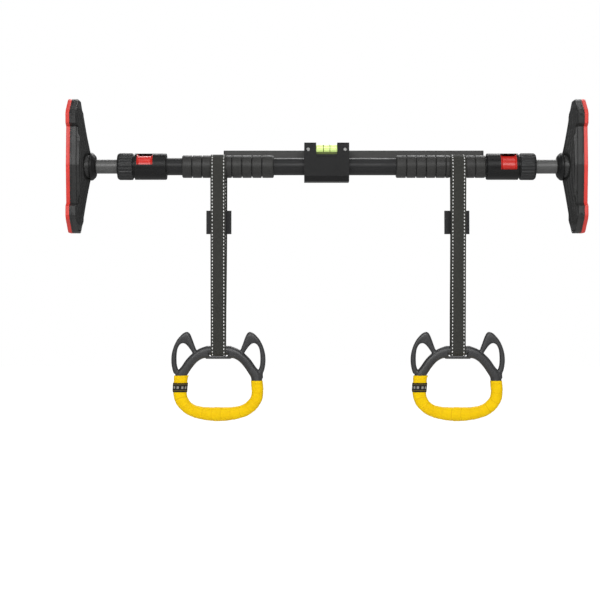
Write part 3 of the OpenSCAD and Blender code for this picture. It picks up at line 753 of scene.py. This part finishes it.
def mark_sharp(piece, degrees):
    """Keeps creases crisper than an angle from being smoothed."""
    mesh = bmesh.new()
    mesh.from_mesh(piece.data)
    limit = math.radians(degrees)
    for e in mesh.edges:
        e.smooth = not (len(e.link_faces) == 2 and e.calc_face_angle(0) > limit)
    mesh.to_mesh(piece.data)
    mesh.free()


# ---- slings ----

SLING_X = {side: sum(corner.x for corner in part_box(f"{side}_strap")) / 2 for side, _ in SIDES}
DROP = 0.3418  # from the bar's axis to the ring's crossbar
STRAP_HALF = 14 * MM
STRAP_THICK = 2 * MM
TWILL_PITCH = 2.2 * MM
STITCH_ROW = 10.6  # mm from the webbing's middle line
FOAM_DENT = 0.9 * MM  # how far the loaded webbing presses into the grip
TOP_R, LOW_R = 22.3 * MM - FOAM_DENT, 9.8 * MM  # of the loop's middle line at the bar and the crossbar


def strap_path(step):
    """Points (y, z) of the loop's middle line, directions along and out of it, lengths so far and the whole."""
    lean = math.asin((TOP_R - LOW_R) / DROP)
    line = []
    for a in np.linspace(-lean, math.pi + lean, 90):
        line.append((TOP_R * math.cos(a), TOP_R * math.sin(a)))
    for a in np.linspace(math.pi + lean, 2 * math.pi - lean, 60):
        line.append((LOW_R * math.cos(a), -DROP + LOW_R * math.sin(a)))
    line = np.array(line + line[:1])
    gaps = np.linalg.norm(np.diff(line, axis=0), axis=1)
    at = np.concatenate([[0], np.cumsum(gaps)])
    count = round(at[-1] / step)
    s = np.arange(count) * at[-1] / count
    p = np.stack([np.interp(s, at, line[:, k]) for k in (0, 1)], -1)
    ahead = np.roll(p, -1, 0) - np.roll(p, 1, 0)
    ahead /= np.linalg.norm(ahead, axis=1)[:, None]
    out = np.stack([ahead[:, 1], -ahead[:, 0]], -1)
    return p, ahead, out, s, at[-1]


def rear_shift(p):
    """How far the rear leg has crept along the bar: most beside the buckle, nothing over the grip."""
    rear = smooth(p[:, 0], 0.002, 0.012)
    fall = smooth(p[:, 1], -0.335, -0.10) * smooth(p[:, 1], 0.018, -0.02)
    return 1.6 * MM * rear * fall


def make_strap(side, material, thread):
    x = SLING_X[side]
    p, _, out, s, length = strap_path(2.4 * MM)
    half, thick = STRAP_HALF, STRAP_THICK / 2
    # the webbing's section: (across, out), with a round selvedge and the stitched rows pulled in a little
    right = np.array([3, 6, 8.6, 9.8, STITCH_ROW, 11.4, 12.2, 13.2])
    across = np.concatenate([-right[::-1], [0], right])
    dip = 0.16 * np.exp(-((np.abs(across) - STITCH_ROW) / 0.55) ** 2)
    face = np.stack([across, 0.98 - dip], -1)
    bend = [(half / MM - 0.25, 0.78), (half / MM, 0.3), (half / MM, -0.3), (half / MM - 0.25, -0.78)]
    section = np.concatenate([face, bend, face[::-1] * (1, -1), [(-a, -b) for a, b in bend]]) * MM
    section[:, 1] = np.clip(section[:, 1], -thick, thick)
    n = len(section)
    shift = rear_shift(p)
    rows = np.empty((len(p), n, 3))
    rows[:, :, 0] = x + shift[:, None] + section[None, :, 0]
    lift = section[None, :, 1]
    rows[:, :, 1] = p[:, None, 0] + out[:, None, 0] * lift
    rows[:, :, 2] = p[:, None, 1] + out[:, None, 1] * lift
    around = np.concatenate([[0], np.cumsum(np.linalg.norm(np.diff(section, axis=0), axis=1))])
    uv = np.stack([np.broadcast_to(around, (len(p), n)), np.broadcast_to(s[:, None], (len(p), n))], -1)
    faces = grid_faces(len(p), n, close_rows=True)
    strap = make_piece(f"{side}_webbing", rows.reshape(-1, 3), faces, material, uv.reshape(-1, 2))
    place(strap, f"{side}_sling", "webbing", f"{side}_strap")
    stitches = make_stitches(side, x, length, thread)


def make_stitches(side, x, length, material):
    """Rows of short raised stitches near both edges, on both faces of the webbing."""
    pitch = 6.2 * MM
    p, ahead, out, _, _ = strap_path(pitch / 4)
    count = round(length / pitch)
    shift = rear_shift(p)
    buckle_low, buckle_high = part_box(f"{side}_buckle")
    reach = np.array([-1.6, -1.3, -0.6, 0.6, 1.3, 1.6]) * MM
    plump = np.array([0.25, 0.8, 1.0, 1.0, 0.8, 0.25])
    ring = np.arange(6) * math.pi / 3
    parts = []
    for row in (-STITCH_ROW, STITCH_ROW):
        for face in (1, -1):
            for k in range(count):
                at = (k + (0.5 if row * face > 0 else 0.32)) * length / count
                i = int(round(at / length * len(p))) % len(p)
                if p[i, 0] > 0 and buckle_low.z < p[i, 1] < buckle_high.z:
                    continue
                centre = p[i] + out[i] * face * (0.86 * MM)
                jitter = 0.10 * MM * math.sin(12.9 * k + row)
                loops = []
                for a, w in zip(reach, plump):
                    side_way = row * MM + shift[i] + jitter + 0.95 * MM * w * np.cos(ring)
                    up = 0.34 * MM * w * np.sin(ring)
                    yz = centre + ahead[i] * a + out[i] * face * up[:, None]
                    loops.append(np.column_stack([x + side_way, yz]))
                parts.append(tube_mesh(np.array(loops), flip=face > 0))
    points, faces = joined(parts)
    stitches = make_piece(f"{side}_webbing_stitches", points, faces, material)
    return place(stitches, f"{side}_sling", "webbing")


# ---- hand rings ----

# One half of the ring's middle line from its top to its foot: (across, height, half width, half depth), mm
RING_HALF = ((19, -344.3, 11.4, 8.7), (32, -347.6, 9.8, 8.8), (43.4, -354.8, 8.9, 8.8),
             (53, -364.6, 8.9, 8.9), (62, -377.5, 8.9, 9), (70, -389, 10.2, 9.2), (71.6, -402, 10, 9.6),
             (72.6, -419, 9.7, 10), (70.2, -432, 9.7, 10), (62.3, -443.5, 9.9, 10), (50, -452.6, 10, 10.2),
             (34, -457.6, 10.4, 10.6), (17, -459.8, 11.2, 11))
RING_LINE = RING_HALF + ((0, -460.3, 11.9, 11),) + tuple((-x, z, w, d) for x, z, w, d in RING_HALF[::-1])
# An ear's band as pairs of points, outer then inner (across, height) in mm, from its inner foot on
EAR = ((39.6, -347.5, 46.6, -354.0), (41.6, -341.0, 47.8, -346.6), (45.9, -329.5, 54.4, -336.4),
       (50.3, -317.2, 59.0, -331.2), (53.8, -310.4, 61.8, -329.2), (58.6, -307.5, 65.0, -328.0),
       (65.4, -310.2, 68.6, -328.6), (71.2, -315.7, 71.8, -330.6), (76.9, -322.9, 74.3, -334.2),
       (82.5, -334.4, 76.8, -340.2), (86.1, -347.0, 78.2, -350.5), (87.2, -358.5, 78.3, -361.5),
       (86.6, -368.5, 77.4, -370.5), (84.8, -378.5, 73.8, -379.6), (82.4, -385.0, 69.0, -384.6))
# The ear on the leg without a label runs further down, to where its wrap starts
RIGHT_FOOT = ((82.8, -393.5, 68.0, -392.0),)
# Stations of RING_LINE between which the tape and the label band lie
WRAP_SPAN = (5.72, 21.05)
BAND_SPAN = (19, 20)
WRAP_PITCH = 17.5  # mm of the ring's line per turn of tape
WRAP_SWAY = 0.35  # how far a turn's edge wanders round the grip, in turns
WRAP_AROUND = 64  # points round the grip
BAND_MIDDLE = 8.5  # mm from the band's edge
BLOCK_PITCH = 5.6  # mm round the band
GIRTH_R = 10.8  # mean radius of the wrapped grip, mm
LEG_BUILD_UP = (-452, -428)  # heights between which the label leg's wrap thickens, mm


def oval(n, power):
    """A rounded section of unit half width and half depth; a higher power is squarer."""
    a = np.arange(n) * 2 * math.pi / n
    c, s = np.cos(a), np.sin(a)
    return np.sign(c) * np.abs(c) ** (2 / power), np.sign(s) * np.abs(s) ** (2 / power)


def ring_sweep(line, n, power, extra=0.0):
    """Rings of points in metres across a line of (across, height, half width, half depth) rows in mm."""
    ahead = np.gradient(line[:, :2], axis=0)
    ahead /= np.linalg.norm(ahead, axis=1)[:, None]
    side_way = np.stack([-ahead[:, 1], ahead[:, 0]], -1)
    wide, deep = oval(n, power)
    w = (line[:, 2:3] + extra) * wide
    d = (line[:, 3:4] + extra) * deep
    return np.stack([line[:, :1] + side_way[:, :1] * w, d, line[:, 1:2] + side_way[:, 1:] * w], -1) * MM


def fused(name, parts, material, voxel, rounds):
    """One skin round several closed solids, smoothed where they meet."""
    points, faces = joined(parts)
    rough = make_piece(name + "_rough", points, faces, material)
    remesh = rough.modifiers.new("fuse", "REMESH")
    remesh.mode = "VOXEL"
    remesh.voxel_size = voxel
    soft = rough.modifiers.new("soften", "SMOOTH")
    soft.factor, soft.iterations = 0.5, rounds
    bpy.context.view_layer.update()
    mesh = bpy.data.meshes.new_from_object(rough.evaluated_get(bpy.context.evaluated_depsgraph_get()))
    bpy.data.objects.remove(rough)
    mesh.name = name
    mesh.polygons.foreach_set("use_smooth", [True] * len(mesh.polygons))
    piece = bpy.data.objects.new(name, mesh)
    scene.collection.objects.link(piece)
    return piece


def ear_rings(mirror, foot=()):
    pairs = spline(EAR + foot, 110)
    outer, inner = pairs[:, :2].copy(), pairs[:, 2:].copy()
    outer[:, 0] *= mirror
    inner[:, 0] *= mirror
    wide, deep = oval(28, 3.0)
    middle, half = (outer + inner) / 2, (outer - inner) / 2
    half *= 1 + 0.45 / np.linalg.norm(half, axis=1)[:, None]
    rings = np.empty((len(pairs), 28, 3))
    rings[:, :, 0] = middle[:, :1] + half[:, :1] * wide
    rings[:, :, 2] = middle[:, 1:] + half[:, 1:] * wide
    rings[:, :, 1] = 6.4 * deep
    return tube_mesh(rings * MM, flip=mirror < 0)


def box_mesh(low, high):
    corners = [(x, y, z) for x in (low[0], high[0]) for y in (low[1], high[1]) for z in (low[2], high[2])]
    faces = [[0, 1, 3, 2], [4, 6, 7, 5], [0, 4, 5, 1], [2, 3, 7, 6], [0, 2, 6, 4], [1, 5, 7, 3]]
    return np.array(corners) * MM, faces


def make_ring(side, materials):
    x = SLING_X[side]
    line = spline(RING_LINE, 300)
    body = tube_mesh(ring_sweep(line, 40, 2.5), flip=True)
    slot_bar = box_mesh((-23, -5.2, -357.4), (23, 5.2, -352.9))
    solids = [body, ear_rings(1, RIGHT_FOOT), ear_rings(-1), slot_bar]
    ring = fused(f"{side}_hand_ring", solids, materials["ring_plastic"], voxel=0.95 * MM, rounds=3)
    ring.data.transform(Matrix.Translation((x, 0, 0)))
    place(ring, f"{side}_ring", "ring_plastic", f"{side}_ring")
    make_wrap(side, x, materials)


def stretch_of(first, last, count):
    """Part of the ring's line between two of its stations, with the length so far in mm."""
    full = spline(RING_LINE, 2600)
    at = np.linspace(0, len(RING_LINE) - 1, len(full))
    part = full[(at >= first) & (at <= last)]
    gaps = np.concatenate([[0], np.cumsum(np.linalg.norm(np.diff(part[:, :2], axis=0), axis=1))])
    s = np.linspace(0, gaps[-1], count)
    return np.stack([np.interp(s, gaps, part[:, k]) for k in range(4)], -1), s


def tucked(rings, under, x):
    """The rings with both ends turned in to the rings under them, moved along to x."""
    return np.concatenate([under[:1], rings, under[-1:]]) + np.array([x, 0, 0])


def level_cut(rings, line, s, reach):
    """Shears the rings near both ends of a sweep, so that its end faces are level."""
    ahead = np.gradient(line[:, :2], axis=0)
    ahead /= np.linalg.norm(ahead, axis=1)[:, None]
    amount = np.maximum(smooth(s, reach, 0), smooth(s, s[-1] - reach, s[-1]))
    rise = rings[:, :, 2] - line[:, 1:2] * MM
    slide = -(amount / np.where(np.abs(ahead[:, 1]) > 0.3, ahead[:, 1], 1))[:, None] * rise
    moved = rings.copy()
    moved[:, :, 0] += slide * ahead[:, :1]
    moved[:, :, 2] += slide * ahead[:, 1:]
    return moved


def wound(line, s, extra):
    """A sleeve's rings over the ring's line, the rings under it, and its UVs in metres; its ends are level."""
    n, squareness, reach = WRAP_AROUND, 2.4, 20
    turn = np.arange(n) / n
    rings = level_cut(ring_sweep(line, n, squareness, extra), line, s, reach)
    under = level_cut(ring_sweep(line, n, squareness, -0.3), line, s, reach)
    s = np.concatenate([[s[0]], s, [s[-1]]])
    around = 2 * math.pi * GIRTH_R * turn
    uv = np.stack([np.broadcast_to(around, (len(s), n)), np.broadcast_to(s[:, None], (len(s), n))], -1) * MM
    return rings, under, uv.reshape(-1, 2)


def thicker_leg(line):
    """The line with its label leg built up towards the ring's inside."""
    amount = smooth(line[:, 1], *LEG_BUILD_UP) * (line[:, 0] < 0)
    thick = line.copy()
    thick[:, 0] += 1.1 * amount
    thick[:, 2] += 1.6 * amount
    return thick


def make_wrap(side, x, materials):
    """Grip tape wound round the ring's foot, each turn lapping the last, and a label band on one leg."""
    turn = np.arange(WRAP_AROUND) / WRAP_AROUND
    line, s = stretch_of(*WRAP_SPAN, 430)
    line = thicker_leg(line)
    lap = (s[:, None] / WRAP_PITCH + WRAP_SWAY * np.sin(2 * math.pi * turn[None])) % 1
    relief = 0.5 * lap**0.7 - 0.5 * smooth(lap, 0.95, 1.0)
    relief = relief + 0.10 * np.sin(s[:, None] * 0.9 + 2 * math.pi * turn[None] * 2)
    ends = smooth(s, 0, 1.6) * smooth(s, s[-1], s[-1] - 1.6)
    rings, under, uv = wound(line, s, 0.85 + relief * ends[:, None] + 0.25 * (ends[:, None] - 1))
    points, faces = tube_mesh(tucked(rings, under, x), flip=True)
    wrap = make_piece(f"{side}_grip_wrap", points, faces, materials["yellow_wrap"], uv)
    place(wrap, f"{side}_ring", "yellow_wrap", f"{side}_ring_wrap")
    line, s = stretch_of(*BAND_SPAN, 40)
    line = thicker_leg(line)
    bulge = 0.35 * (1 - np.abs(2 * s / s[-1] - 1) ** 8)
    rings, under, uv = wound(line, s, 2.1 + bulge[:, None])
    points, faces = tube_mesh(tucked(rings, under, x), flip=True)
    band = make_piece(f"{side}_label_band", points, faces, materials["band_fabric"], uv)
    place(band, f"{side}_ring", "band_fabric", f"{side}_ring_band")


# ---- spirit level ----


def make_level(materials):
    low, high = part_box("level_vial")
    y, z = (low.y + high.y) / 2, (low.z + high.z) / 2
    r, half = (high.z - low.z) / 2, high.x
    profile = [(-half, 0.2 * r), (-half, r - 0.9 * MM)]
    profile += [(-half + 0.35 * MM, r - 0.3 * MM), (-half + 1.0 * MM, r)]
    profile += [(-half + 1.0 * MM + (2 * half - 2 * MM) * k / 40, r) for k in range(1, 40)]
    profile += [(half - 1.0 * MM, r), (half - 0.35 * MM, r - 0.3 * MM), (half, r - 0.9 * MM), (half, 0.2 * r)]
    rings = lathe(profile, 72)
    # the bubble's hollow at the top of the liquid
    angle = np.arctan2(rings[:, :, 1], rings[:, :, 2])
    dent = smooth(np.hypot(rings[:, :, 0] / (5.6 * MM), angle / 0.62), 1.0, 0.55)
    rings[:, :, 1:] *= (1 - 0.17 * dent)[:, :, None]
    points, faces = tube_mesh(rings)
    points = points + np.array([0, y, z])
    vial = make_piece("level_liquid_vial", points, faces, materials["vial_green"])
    place(vial, "bar", "vial_green", "level_vial")
    count, around = 24, 40
    t = np.linspace(0.02, math.pi - 0.02, count)
    a = np.arange(around) * 2 * math.pi / around
    bubble = np.stack([
        np.broadcast_to(-5.2 * MM * np.cos(t)[:, None], (count, around)),
        y + 3.4 * MM * np.sin(t)[:, None] * np.cos(a),
        z + 0.80 * r + (1.05 * MM * np.sin(a) - 0.25 * MM * np.cos(a) ** 2) * np.sin(t)[:, None],
    ], -1)
    points, faces = tube_mesh(bubble)
    air = make_piece("level_air_bubble", points, faces, materials["bubble"])
    place(air, "bar", "vial_green")


# ---- building ----

make_camera()
make_studio()
materials = make_materials()
dress_nodes(materials)
for side, sign in SIDES:
    make_foam_grip(side, materials["foam"])
    make_lock_nut(side, sign, materials["nut_plastic"])
    make_plate(side, sign, materials["plate_plastic"])
    make_pad(side, sign, materials["red_rubber"])
    make_strap(side, materials["webbing"], materials["stitch"])
    make_ring(side, materials)
make_level(materials)
